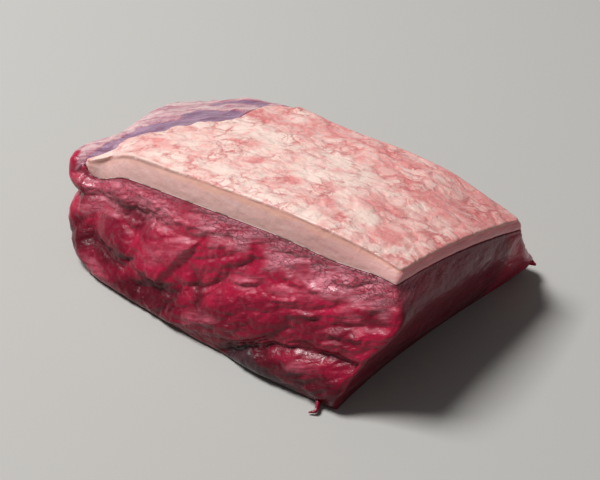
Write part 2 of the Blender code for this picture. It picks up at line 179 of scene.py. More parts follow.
# The ragged edge where the fat was trimmed off the silverskin, as x and y from the back round
# to the front; elsewhere the fat ends this little inside the lean's edge
FAT_TRIM = [(-119.0, 112.0), (-127.0, 108.0), (-131.0, 103.0), (-131.5, 91.5), (-130.0, 84.0),
            (-135.0, 74.0), (-143.0, 67.5), (-145.0, 61.0), (-151.0, 58.0), (-152.0, 51.0),
            (-163.5, 47.3), (-169.5, 44.6), (-170.5, 39.0), (-168.0, 35.0), (-169.5, 30.0),
            (-172.5, 25.0)]
TRIM_TATTERS = (0.64, -0.48)  # how far its tatters reach, along x and y
TRIM_FADE = 12  # mesh steps at each end of the trimmed edge without them
FAT_SETBACK = 0.4
TAPER = 30.0  # the fat thins over this distance from its trimmed edge
FRONT_TAPER = 0.45  # share of that distance at the front

# Where the torn film ends on the purple silverskin, as x for each y, and a second bare strip
FILM_EDGE_Y = (22.0, 34.0, 45.5, 56.0, 63.0, 68.5, 75.0, 83.5, 87.5, 92.0, 93.0)
FILM_EDGE_X = (-176.0, -177.0, -175.0, -172.0, -167.0, -157.0, -160.5, -159.5, -152.0, -140.0,
               -125.0)
BARE_STRIP = [(-158.0, 96.0), (-150.0, 104.0), (-143.0, 107.5), (-136.0, 108.5), (-130.0, 103.0)]
BARE_STRIP_WIDTH = 3.2

# How far the fat's upper outline lies inside its lower one
FRONT_SLOPE = 4.4
RIGHT_SLOPE = 1.2
BACK_SLOPE = 0.6
TRIM_SLOPE = 0.8

# The inner outline that the rings of the base and the top run to
CORE_CORNERS = [(-24.0, 52.0), (-24.0, 82.0), (-90.0, 82.0), (-114.0, 38.0)]
CORE_RADII = (3.0, 3.0, 10.0, 6.0)
MIDDLE = np.array([-62.0, 62.0])


def eased(share):
    """A smooth step from 0 to 1."""
    share = np.clip(share, 0, 1)
    return share * share * (3 - 2 * share)


def ramp(value, start, end):
    """A smooth step from 0 where the value is at start to 1 where it is at end."""
    return eased((value - start) / (end - start))


def bell(value, middle, half_length):
    """A rounded rise to 1 in the middle."""
    return np.exp(-(((value - middle) / half_length) ** 2))


def arch(distance, fall, length, power):
    """Fall of the top at this distance from its crest."""
    return fall * (np.maximum(distance, 0) / length) ** power


def crown(x, y):
    """Height of the fat's upper surface: an arch along the joint that falls to the back."""
    right = arch(x - CREST[0], *ARCH_RIGHT)
    left = arch(np.minimum(CREST[0] - x, ARCH_LEFT_END), *ARCH_LEFT)
    near_left = NEAR_LEFT_DROP * ramp(x, -140, -175) * (1 - 0.8 * ramp(y, 25, 85))
    fall = (ARCH_BACK[0] + ARCH_BACK_CHANGE * ramp(x, -30, 16)
            - ARCH_BACK_CHANGE * ramp(x, -75, -135))
    return CREST[2] - right - left - near_left - arch(y - CREST[1], fall, *ARCH_BACK[1:])


def distance_to(line, x, y):
    """Distance of each point from a line of straight stretches."""
    nearest = np.full(np.shape(x), np.inf)
    for start, end in zip(line[:-1], line[1:]):
        run = np.subtract(end, start)
        share = ((x - start[0]) * run[0] + (y - start[1]) * run[1]) / (run @ run)
        share = np.clip(share, 0, 1)
        away = np.hypot(x - start[0] - share * run[0], y - start[1] - share * run[1])
        nearest = np.minimum(nearest, away)
    return nearest


def fat_depth(x, y):
    """Thickness of the fat layer: thinner to the right and the back, and at its trimmed edge."""
    right = ramp(x, -25, 15)
    front = FAT_FRONT[0] - FAT_FRONT[1] * right
    back = FAT_BACK[0] - FAT_BACK[1] * right
    full = front + (back - front) * np.clip((y - CREST[1]) / ARCH_BACK[1], 0, 1)
    trim = np.array(FAT_TRIM)[::-1]
    covered = x > np.interp(y, trim[:, 1], trim[:, 0])
    near_front = ramp(y, 45, 25)
    taper = TAPER * (1 - (1 - FRONT_TAPER) * near_front)
    least = SKIN_STEP + FRONT_STEP * near_front * ramp(x, -188, -162)
    from_trim = np.where(covered, distance_to(FAT_TRIM, x, y), 0.0)
    return least + (full - least) * eased(from_trim / taper)


def lean_bed(x, y):
    """Height of the lean's upper surface, which the fat lies on."""
    return crown(x, y) - fat_depth(x, y)


def jitter(column, row, seed):
    """A fixed random number from 0 to 1 for each cell of a grid."""
    return np.modf(np.abs(np.sin(column * 127.1 + row * 311.7 + seed * 74.7) * 43758.5453))[0]


def cell_gap(u, v, seed):
    """Distance from the borders of a jittered grid's cells, in shares of a cell."""
    column, row = np.floor(u), np.floor(v)
    away = []
    for i in (-1, 0, 1):
        for j in (-1, 0, 1):
            at_u, at_v = column + i, row + j
            centre_u = at_u + jitter(at_u, at_v, seed)
            centre_v = at_v + jitter(at_u, at_v, seed + 1)
            away.append(np.hypot(centre_u - u, centre_v - v))
    away = np.sort(away, axis=0)
    return away[1] - away[0]


def pillow(gap):
    """0 on a cell's border, rising to 1 in its middle."""
    return 1 - np.exp(-3.0 * (np.sqrt(gap ** 2 + 0.01) - 0.1))


def swell(u, v, seed):
    """Smooth noise from about -1 to 1, with one swell for each unit."""
    column, row = np.floor(u), np.floor(v)
    total = np.zeros(np.shape(u))
    for i in (0, 1):
        for j in (0, 1):
            turn = 2 * np.pi * jitter(column + i, row + j, seed)
            a, b = u - column - i, v - row - j
            weight = (1 - eased(np.abs(a))) * (1 - eased(np.abs(b)))
            total = total + weight * (a * np.cos(turn) + b * np.sin(turn))
    return 1.8 * total


def rough(u, v, seed):
    """Swells of three sizes together."""
    return (swell(u, v, seed) + 0.5 * swell(2 * u, 2 * v, seed + 7)
            + 0.25 * swell(4 * u, 4 * v, seed + 13))


def turned(u, v, degrees):
    """The two coordinates in axes that are turned by this angle."""
    c, s = np.cos(np.radians(degrees)), np.sin(np.radians(degrees))
    return u * c + v * s, v * c - u * s


def bundles(along, height, pattern, seed):
    """Relief of one cell pattern of muscle bundles, with its borders as grooves."""
    length, width, tilt, depth = pattern
    u, v = turned(-along, height, tilt)
    v = v + 0.34 * width * rough(u / (1.3 * length), v / (2.8 * width), seed + 5)
    return depth * (pillow(cell_gap(u / length, v / width, seed)) - 0.6)


def reach_of(u, v, half_length, half_height, tilt):
    """Distance from a spot's middle: 1 on its outline."""
    u, v = turned(u, v, tilt)
    return np.hypot(u / half_length, v / half_height)


def patch(along, height, spots):
    """How much of a patch covers each point of a face, from 0 to 1, with a ragged edge."""
    cover = np.zeros(along.shape)
    ragged = 0.35 * rough(along / 9, height / 6, 61)
    for centre, middle, *size in spots:
        reach = reach_of(centre - along, height - middle, *size)
        cover = np.maximum(cover, eased(1.5 - reach + ragged))
    return cover


def lobed(along, height, lobes):
    """Rounded lobes that meet in creases."""
    lift = np.zeros(along.shape)
    for centre, middle, *size, most in lobes:
        reach = reach_of(centre - along, height - middle, *size)
        lift = np.maximum(lift, most * (1 - np.minimum(reach, 1) ** 2.5))
    return lift


def seam_depth(along, height):
    """Depth of the seams between the muscles, and of the creases beside them."""
    wander = 0.9 * rough(along / 9, height / 9, 71)
    deepest = np.zeros(along.shape)
    for line, depth, width in SEAMS:
        away = distance_to(line, along + wander, height + wander)
        deepest = np.maximum(deepest, depth * np.exp(-((away / width) ** 1.4)))
    return deepest


def facet_lift(along, height):
    """The angular lobe: a nearly flat face that drops off past each of its straight edges."""
    corners = np.array(FACET, float)
    middle = corners.mean(axis=0)
    plane = np.linalg.lstsq(np.column_stack([corners[:, :2], np.ones(4)]), corners[:, 2],
                            rcond=None)[0]
    inside = np.full(along.shape, np.inf)
    for k in range(len(corners)):
        start, end = corners[k, :2], corners[(k + 1) % len(corners), :2]
        run = (end - start) / np.hypot(*(end - start))
        side = np.array([-run[1], run[0]])
        if side @ (middle[:2] - start) < 0:
            side = -side
        inside = np.minimum(inside, (along - start[0]) * side[0] + (height - start[1]) * side[1])
    inside = inside + 0.5 * rough(along / 8, height / 8, 75)
    face = plane[0] * along + plane[1] * height + plane[2]
    return face * ramp(inside, *FACET_EDGE)


def face_relief(along, height):
    """How far the lean stands out from its smooth sides, in terms of the long face."""
    lift = np.maximum(lobed(along, height, LOBES), facet_lift(along, height))
    lift = lift - seam_depth(along, height)
    for line, most, width in RIDGES:
        away = distance_to(line, along, height + 0.5 * rough(along / 5, height / 5, 73))
        lift = lift + most * bell(away, 0, width)
    left = ramp(along, 85, 125)
    long_bundles = (bundles(along, height, LONG_BUNDLES, 11)
                    + bundles(along, height, FINE_BUNDLES, 12))
    round_bundles = (bundles(along, height, ROUND_BUNDLES, 23)
                     + bundles(along, height, FINE_KNOTS, 24))
    creases = CREASES[0] + (CREASES[1] - CREASES[0]) * left
    creases = creases * (0.35 - np.abs(rough(along / 7, height / 5, 31)))
    upper_left = ramp(along, 96, 120) * ramp(height, 27, 36)
    return (lift + (1 - left) * long_bundles + left * round_bundles
            + (creases + upper_left * bundles(along, height, WRINKLES, 27)))


def end_relief(across, height):
    """The same for the knife-cut end: low swells and faint bundles cut across."""
    length, width, tilt, depth = END_GRAIN
    u, v = turned(across, height, tilt)
    grain = pillow(cell_gap(u / length + 0.3 * rough(u / 30, v / 12, 81), v / width, 83)) - 0.6
    return (lobed(across, height, END_SWELLS) + depth * grain
            + 0.4 * rough(across / 13, height / 8, 85))


def rounded_outline(corners, radii, side_steps, corner_steps):
    """Points round a convex polygon with rounded corners, counter-clockwise from its first."""
    corners = np.array(corners)
    count = len(corners)
    arcs = []
    for k in range(count):
        here = corners[k]
        back = corners[k - 1] - here
        ahead = corners[(k + 1) % count] - here
        back, ahead = back / np.hypot(*back), ahead / np.hypot(*ahead)
        half = np.arccos(back @ ahead) / 2
        middle = (back + ahead) / np.hypot(*(back + ahead))
        centre = here + middle * radii[k] / np.sin(half)
        facing = np.arctan2(-middle[1], -middle[0])
        sweep = facing + np.linspace(-1, 1, corner_steps[k] + 1) * (np.pi / 2 - half)
        arcs.append(centre + radii[k] * np.column_stack([np.cos(sweep), np.sin(sweep)]))
    points = []
    for k in range(count):
        points.extend(arcs[k])
        start, end = arcs[k][-1], arcs[(k + 1) % count][0]
        for step in range(1, side_steps[k]):
            points.append(start + (end - start) * step / side_steps[k])
    return np.array(points)


def between(shares, values, share):
    """A smooth curve through values at their shares, read at one share."""
    slopes = np.gradient(values, shares, axis=0)
    k = int(np.clip(np.searchsorted(shares, share) - 1, 0, len(shares) - 2))
    span = shares[k + 1] - shares[k]
    t = (share - shares[k]) / span
    return ((2 * t ** 3 - 3 * t ** 2 + 1) * values[k]
            + (t ** 3 - 2 * t ** 2 + t) * span * slopes[k]
            + (3 * t ** 2 - 2 * t ** 3) * values[k + 1] + (t ** 3 - t ** 2) * span * slopes[k + 1])


def section(share):
    """The outline of the block at a share of its height."""
    shares = np.array([row[0] for row in SECTIONS])
    corners = between(shares, np.array([row[1:] for row in SECTIONS]), share)
    points = rounded_outline(corners[:, :2], corners[:, 2], SIDE_STEPS, CORNER_STEPS)
    x, y = points.T
    along_end = np.clip(y / RIGHT_LENGTH, 0, 1) ** 0.8
    hollow = RIGHT_HOLLOW * np.sin(np.pi * along_end) * ramp(x, -12, 0)
    x = x - hollow * (1 - eased(share / HOLLOW_TOP))
    bow = FRONT_BOW * np.sin(np.pi * np.clip(-x / FRONT_LENGTH, 0, 1)) * ramp(y, 40, 25)
    return np.column_stack([x, y - bow])


def outward_of(outline):
    """The directions that point out of an outline, level with it."""
    run = np.roll(outline, -1, axis=0) - np.roll(outline, 1, axis=0)
    return np.column_stack([run[:, 1], -run[:, 0]]) / np.hypot(*run.T)[:, None]


def face_distance(outline):
    """Distance of each outline point from the near lower corner, along the long face."""
    steps = np.hypot(*(np.roll(outline, -1, axis=0) - outline).T)
    travelled = np.concatenate([[0], np.cumsum(steps)[:-1]])
    along = travelled[-1] - travelled - outline[-1, 0]
    on_end = slice(CORNER_STEPS[0] + SIDE_STEPS[0])
    along[on_end] = -outline[on_end, 0]
    return along


def spaced(line, count):
    """This many points at even distances along a line of straight stretches, without its end."""
    line = np.array(line, float)
    lengths = np.hypot(*np.diff(line, axis=0).T)
    travelled = np.concatenate([[0], np.cumsum(lengths)])
    at = np.linspace(0, travelled[-1], count, endpoint=False)
    return np.column_stack([np.interp(at, travelled, line[:, k]) for k in (0, 1)])


def core_outline():
    """The inner outline, with a point for each point of the block's sections."""
    return rounded_outline(CORE_CORNERS, CORE_RADII, SIDE_STEPS, CORNER_STEPS)


def fat_outlines():
    """The fat's lower and upper outlines, with a point for each point of the block's sections."""
    top = section(1.0)
    lower = top - outward_of(top) * FAT_SETBACK
    first = int(np.argmin(np.hypot(*(top - FAT_TRIM[0]).T)))
    last = int(np.argmin(np.hypot(*(top - FAT_TRIM[-1]).T)))
    count = last - first
    trimmed_line = spaced(FAT_TRIM, count)
    ragged = rough(trimmed_line[:, 0] / 5, trimmed_line[:, 1] / 5, 91)
    fade = ramp(np.arange(count), 0, TRIM_FADE) * ramp(np.arange(count), count, count - TRIM_FADE)
    lower[first:last] = trimmed_line + (ragged * fade)[:, None] * np.array(TRIM_TATTERS)
    x, y = lower.T
    front = ramp(y, 34, 25) * ramp(x, -176, -158)
    right = ramp(x, 6, 11)
    back = ramp(y, 106, 112)
    trimmed = (1 - right) * (1 - front) * (1 - back)
    inward_x = TRIM_SLOPE * trimmed - RIGHT_SLOPE * right
    inward_y = FRONT_SLOPE * front - BACK_SLOPE * back
    return lower, lower + np.column_stack([inward_x, inward_y])


def bed_rings(lower, gap):
    """Rings this far over the fat's bed, from its lower outline in to the middle."""
    core = core_outline()
    outlines = [lower + (core - lower) * share for share in BED_SHARES]
    outlines.append(MIDDLE + (core - MIDDLE) * 0.5)
    return np.array([np.column_stack([line, lean_bed(*line.T) + gap]) for line in outlines])


def rolled(radius, inset):
    """How far a rounded edge has dropped at this distance in from it."""
    return radius - np.sqrt(radius ** 2 - np.maximum(radius - inset, 0) ** 2)


def side_weights(outline):
    """Share of each outline point that belongs to the right end, the back and the left end."""
    x, y = outline.T
    step = np.arange(len(outline))
    far_corner = CORNER_STEPS[0] + SIDE_STEPS[0]
    right = ramp(step, 3, CORNER_STEPS[0])
    right = right * (1 - ramp(step, far_corner, far_corner + CORNER_STEPS[1]))
    back = ramp(y, 95, 115)
    left = ramp(x, -150, -170)
    return right, back * (1 - right), left


def put_in_scene(name, data):
    """A new object in the scene."""
    holder = bpy.data.objects.new(name, data)
    bpy.context.scene.collection.objects.link(holder)
    return holder


def body_from(name, rings, masks, material):
    """A closed mesh of rings of equal length between two poles, with masks for its material."""
    rings = np.array(rings)
    ring_count, count = rings.shape[:2]
    poles = rings[[0, -1]].mean(axis=1)
    points = np.vstack([rings.reshape(-1, 3), poles]) + NEAR_CORNER
    here = np.arange(count)
    after = np.roll(here, -1)
    low = (np.arange(ring_count - 1) * count)[:, None]
    quads = np.stack([low + here, low + after, low + count + after, low + count + here], axis=-1)
    first_pole, last_pole = len(points) - 2, len(points) - 1
    last = (ring_count - 1) * count
    faces = quads.reshape(-1, 4).tolist()
    faces += [(first_pole, b, a) for a, b in zip(here.tolist(), after.tolist())]
    faces += [(last + a, last + b, last_pole) for a, b in zip(here.tolist(), after.tolist())]
    mesh = bpy.data.meshes.new(name)
    mesh.from_pydata((points * MM).tolist(), [], faces)
    mesh.shade_smooth()
    for mask, values in masks.items():
        values = np.concatenate([values.ravel(), values[0, :1], values[-1, :1]])
        layer = mesh.attributes.new(mask, "FLOAT", "POINT")
        layer.data.foreach_set("value", values.astype(np.float32))
    mesh.materials.append(material)
    return put_in_scene(name, mesh)


def hex_colour(code):
    """A linear colour with alpha from an sRGB code such as #a1b2c3."""
    shares = [int(code[k:k + 2], 16) / 255 for k in (1, 3, 5)]
    linear = [s / 12.92 if s <= 0.04045 else ((s + 0.055) / 1.055) ** 2.4 for s in shares]
    return (*linear, 1.0)


def add_node(tree, kind, settings, links):
    """One node with its settings, and for each input a value, a colour's code or the socket that
    feeds it. It gives the node's outputs."""
    node = tree.nodes.new("ShaderNode" + kind)
    for name, value in settings.items():
        setattr(node, name, value)
    for name, value in links.items():
        socket = node.inputs[name]
        if isinstance(value, bpy.types.NodeSocket):
            tree.links.new(value, socket)
        else:
            socket.default_value = hex_colour(value) if isinstance(value, str) else value
    return node.outputs


def empty_material(name):
    """A material without nodes, and add_node for its tree."""
    material = bpy.data.materials.new(name)
    material.use_nodes = True
    material.node_tree.nodes.clear()
    return material, partial(add_node, material.node_tree)


def add_each(add, kind, settings, inputs, rows, output=0):
    """One node for each row of values for these inputs; it gives one output of each."""
    return [add(kind, settings, dict(zip(inputs, row)))[output] for row in rows]


def moist_surface(add, colour, reliefs, dulled, look):
    """The surface of moist flesh: small relief, light that sinks in and a coat of juice."""
    relief = {}
    for height, depth, strength in reliefs:  # a negative depth is a dent
        relief = {"Normal": add("Bump", {"invert": depth < 0}, {
            "Height": height, "Distance": abs(depth) * MM, "Strength": strength,
            **relief})["Normal"]}
    (wettest, driest), ior, (sunk, sink_depth), tint, (coat, coat_roughness) = look
    dullness = add("MapRange", {}, {
        "Value": dulled, "From Min": 0.3, "From Max": 0.7, "To Min": wettest,
        "To Max": driest})["Result"]
    shader = add("BsdfPrincipled", {"subsurface_method": "RANDOM_WALK"}, {
        "Base Color": colour, "Roughness": dullness, "IOR": ior, "Subsurface Weight": sunk,
        "Subsurface Radius": tint, "Subsurface Scale": sink_depth * MM, "Coat Weight": coat,
        "Coat Roughness": coat_roughness, "Coat IOR": JUICE_IOR, **relief})
    add("OutputMaterial", {}, {"Surface": shader[0]})


# Raw lean beef under a film of its own juice: deep red, a little see-through, with a wet gloss
# that breaks up on fine folds. Where air or film lies on it, it is paler and greyer.
# Shade in its hollows and highlights and sheen on its wet crests are painted into its colour as
# well
MEAT_DARK = "#920b30"
MEAT_BRIGHT = "#c01844"
MEAT_PAINTED_SHADE_AND_DEEP_RED = "#580319"
MEAT_PALE_AND_HIGHLIGHT = "#c65c70"
MEAT_PAINTED_HIGHLIGHT = "#e8a0ae"
MEAT_CUT_END = "#640a1f"
MEAT_PAINTED_SHADE_UNDER_FLAP = "#40242a"
SILVERSKIN = "#a4829a"
SILVERSKIN_DARK = "#7d5872"
FILM = "#dcbcbb"
FILM_PINK = "#b27a88"
JUICE_IOR = 1.34
# Roughness from the wettest spots to the driest, index of refraction, share of the light that
# sinks in and how deep in mm, how deep each colour goes, and the juice's weight and roughness
MEAT_LOOK = ((0.27, 0.45), 1.38, (0.18, 3.0), (1.0, 0.22, 0.16), (0.36, 0.11))
NOISE_INPUTS = ("Vector", "Scale", "Detail", "Roughness", "Distortion")
RANGE_INPUTS = ("Value", "From Min", "From Max", "To Min", "To Max")
MOTTLE_SIZE = 9.0  # mm, cloudy changes from dark to bright red
GRIT_SIZE = 2.2  # mm, the uneven skin of juice
FIBRE_LENGTH = 10.0  # mm, one stretch of a strand of fibres
FIBRE_WIDTH = 1.7  # mm; single fibres are far finer, too fine to show
GRAIN_TILT = 20.0  # degrees, how the fibres climb towards the knife-cut end
PUCKER_LENGTH = 3.5  # mm, one pucker of the drying film under the fat
PUCKER_WIDTH = 1.6
PUCKER_LINE = 0.16  # width of the line between puckers, in puckers
FOLD_LENGTH = 14.0  # mm, one fold of the film over the silverskin
FOLD_WIDTH = 3.5
FOLD_TURN = 50.0  # degrees, along the rim


def lean_material():
    material, add = empty_material("raw_lean_beef")
    place = add("TexCoord", {}, {})["Object"]
    masks = {}
    for name in ("along", "height", "sheen", "pale", "deep", "cut_end", "dried", "crest",
                 "puckered", "grain", "silver", "film"):
        masks[name] = add("Attribute", {"attribute_name": name}, {})["Fac"]
    on_face = add("CombineXYZ", {}, {"X": masks["along"], "Y": masks["height"]})["Vector"]
    fibre_place, pucker_place, fold_place = add_each(
        add, "Mapping", {"vector_type": "TEXTURE"}, ("Vector", "Rotation", "Scale"), [
            (on_face, (0.0, 0.0, np.radians(GRAIN_TILT)), (FIBRE_LENGTH, FIBRE_WIDTH, 1.0)),
            (on_face, (0.0, 0.0, 0.0), (PUCKER_LENGTH, PUCKER_WIDTH, 1.0)),
            (place, (0.0, 0.0, np.radians(FOLD_TURN)),
             (FOLD_LENGTH * MM, FOLD_WIDTH * MM, FOLD_LENGTH * MM))])
    fibre, mottle, grit, folds = add_each(add, "TexNoise", {}, NOISE_INPUTS, [
        (fibre_place, 1.0, 1.5, 0.5, 0.5), (place, 1 / (MOTTLE_SIZE * MM), 4.0, 0.6, 0.4),
        (place, 1 / (GRIT_SIZE * MM), 3.0, 0.55, 0.3), (fold_place, 1.0, 5.0, 0.62, 0.8)])
    bend = add("TexNoise", {}, {
        "Vector": pucker_place, "Scale": 0.5, "Detail": 4.0, "Roughness": 0.65})["Color"]
    bent = add("VectorMath", {"operation": "MULTIPLY_ADD"}, {
        0: bend, 1: (3.0, 3.0, 0.0), 2: pucker_place})["Vector"]
    border = add("TexVoronoi", {"voronoi_dimensions": "2D", "feature": "DISTANCE_TO_EDGE"}, {
        "Vector": bent, "Scale": 1.0})["Distance"]

    # Where each pattern begins and ends, and its strength there
    crease, in_places, broken, folded = add_each(
        add, "MapRange", {"interpolation_type": "SMOOTHSTEP"}, RANGE_INPUTS, [
            (border, 0.0, PUCKER_LINE, 0.55, 0.0), (mottle, 0.36, 0.56, 0.0, 1.0),
            (fibre, 0.38, 0.62, 0.35, 1.0), (folds, 0.36, 0.64, 0.0, 1.0)])
    bare = add("Math", {"operation": "ADD"}, {0: masks["silver"], 1: masks["film"]})[0]
    puckered, painted_sheen_broken, streaked_pale_and_highlight, strands, bare_folds = add_each(
        add, "Math", {"operation": "MULTIPLY"}, (0, 1), [
            (masks["puckered"], in_places), (masks["sheen"], broken), (masks["pale"], broken),
            (fibre, masks["grain"]), (folds, bare)])
    # The pucker lines are dents, and take painted shade in their creases
    puckers = add("Math", {"operation": "MULTIPLY"}, {0: crease, 1: puckered})[0]

    # The red of the muscle, from dark to bright, then all that lies over it in turn
    clouds = add("Math", {"operation": "MULTIPLY_ADD"}, {0: mottle, 1: 1.2, 2: -0.42})[0]
    shade = add("Math", {"operation": "MULTIPLY_ADD", "use_clamp": True}, {
        0: fibre, 1: 0.5, 2: clouds})[0]
    film_colour, silver_colour = add_each(add, "Mix", {"data_type": "RGBA"}, (0, 6, 7), [
        (folded, FILM_PINK, FILM), (folded, SILVERSKIN_DARK, SILVERSKIN)], 2)
    colour = MEAT_DARK
    # Among these are painted shade and painted highlights, each through its mask
    for mask, laid in (
            (shade, MEAT_BRIGHT), (masks["deep"], MEAT_PAINTED_SHADE_AND_DEEP_RED), (streaked_pale_and_highlight, MEAT_PALE_AND_HIGHLIGHT),
            (painted_sheen_broken, MEAT_PAINTED_HIGHLIGHT), (masks["crest"], MEAT_PAINTED_HIGHLIGHT), (puckers, MEAT_PAINTED_SHADE_AND_DEEP_RED),
            (masks["cut_end"], MEAT_CUT_END), (masks["dried"], MEAT_PAINTED_SHADE_UNDER_FLAP),
            (masks["silver"], silver_colour), (masks["film"], film_colour)):
        colour = add("Mix", {"data_type": "RGBA"}, {0: mask, 6: colour, 7: laid})[2]
    reliefs = [(strands, 0.9, 0.45), (grit, 0.7, 0.6), (bare_folds, 2.5, 0.7), (puckers, -0.9, 0.9)]
    moist_surface(add, colour, reliefs, grit, MEAT_LOOK)
    return material


# Strength of each look where it is strongest, from 0 to 1: first on the long face, then at the
# knife-cut end, and for the sheen at the upper left as well
PAINTED_SHEEN = (0.54, 0.45, 0.3)
PAINTED_GLINT = 0.32
PALE_AND_PAINTED_HIGHLIGHT = (0.60, 0.5)
SHADED = 0.6
SEAM_SHADE = 0.8 / 3.5  # for each mm that a seam is deep
PAINTED_SHADE_UNDER_FAT = 0.35
LOW_SHADE = 0.75
CUT_END = 0.85
GLOSSY_WAY = np.array([0.0, -0.41, 0.91])  # crests that face this way get a painted glint of the key light
SHADE_BAND_ALONG = (14, 20, 35, 50, 60)  # painted shade under the flap at the foot: its height at each distance
SHADE_BAND_HEIGHT = (0.0, 4.0, 8.0, 11.5, 5.0)


def wall_masks(walls, along, across, height, top_gap, sides, top):
    """The masks of the sides, for each ring of the walls."""
    right, back, left = sides
    on_back = ramp(along, *BACK_RANGE)
    mirrored = np.where(on_back > 0.5, BACK_FOLD - along, along)
    shaded = patch(mirrored, height, DARK_PATCHES)
    on_face = 1 - right

    # A puckered film under the fat, with a painted sheen: in the middle of the face, at the left
    # and at the end
    reach = 13.0 + 6.0 * rough(along / 14, height / 20, 101)
    mid_face = ramp(along, -22, -4) * ramp(along, 112, 82) * on_face
    sheen = mid_face * eased((reach - top_gap) / 7)
    creased = mid_face * eased((reach - 3 - top_gap) / 6)
    at_left = ramp(along, 95, 115) * ramp(along, 178, 166) * (1 - on_back) * (1 - 0.8 * shaded)
    at_left = at_left * ramp(top_gap - 3 * rough(along / 9, height / 6, 109), 16, 11)
    at_end = right * ramp(top_gap, 11, 3) * ramp(across, 80, 30)

    # Film that folds over the rim of the silverskin, and painted shade in the seams and near the
    # floor
    over_rim = np.maximum(left * ramp(top[:, 1], 31, 39), back * ramp(top[:, 0], -110, -130))
    film_reach = 4 + 2.5 * rough(along / 9, height / 9, 103)
    deep = (SHADED * shaded + SEAM_SHADE * seam_depth(mirrored, height)) * on_face
    deep = deep + PAINTED_SHADE_UNDER_FAT * ramp(top_gap, 1.0, 0.2) * (1 - over_rim)
    deep = deep + LOW_SHADE * ramp(height, 26, 2) * on_face
    dried = np.interp(along, SHADE_BAND_ALONG, SHADE_BAND_HEIGHT) + 0.5 * rough(along / 6, height / 4, 105)
    dried = eased(dried - height) * ramp(along, 13, 16) * ramp(along, 62, 56) * on_face

    # Painted highlights on the crests that face up, broken along the fibres
    run_round = np.roll(walls, -1, axis=1) - np.roll(walls, 1, axis=1)
    facing = np.cross(run_round, np.gradient(walls, axis=0))
    facing = facing / np.linalg.norm(facing, axis=2)[:, :, None]
    u, v = turned(-along, height, GRAIN_TILT)
    crest = ramp(facing @ GLOSSY_WAY, 0.87, 0.98) * on_face * ramp(height, 16, 30)
    crest = crest * eased(0.42 + 1.1 * rough(u / 12, v / 2.2, 107)) * (1 - 0.7 * shaded)

    on_end = np.arange(len(top)) < CORNER_STEPS[0] + SIDE_STEPS[0]
    # A painted highlight on the wedge of the far right corner
    painted_lit_wedge = right * ramp(across, 112, 120) * ramp(height, 8, 16)
    return {
        "along": np.where(on_end, across, 0) - along,
        "height": height,
        "sheen": np.maximum(PAINTED_SHEEN[0] * sheen + PAINTED_SHEEN[1] * at_end, PAINTED_SHEEN[2] * at_left),
        "puckered": np.maximum(np.maximum(creased, at_end), 0.7 * at_left),
        "grain": (1 - 0.6 * ramp(along, 90, 115) * on_face) * (1 - 0.65 * right),
        "pale": PALE_AND_PAINTED_HIGHLIGHT[0] * patch(mirrored, height, PALE_AND_HIGHLIGHT_PATCHES) * on_face + PALE_AND_PAINTED_HIGHLIGHT[1] * painted_lit_wedge,
        "deep": np.clip(deep, 0, 1),
        "dried": dried,
        "crest": PAINTED_GLINT * crest,
        "cut_end": CUT_END * right * ramp(across, 110, 100) * (1 - 0.7 * at_end),
        "silver": 0 * height,
        "film": over_rim * eased((film_reach - top_gap) / 2),
    }


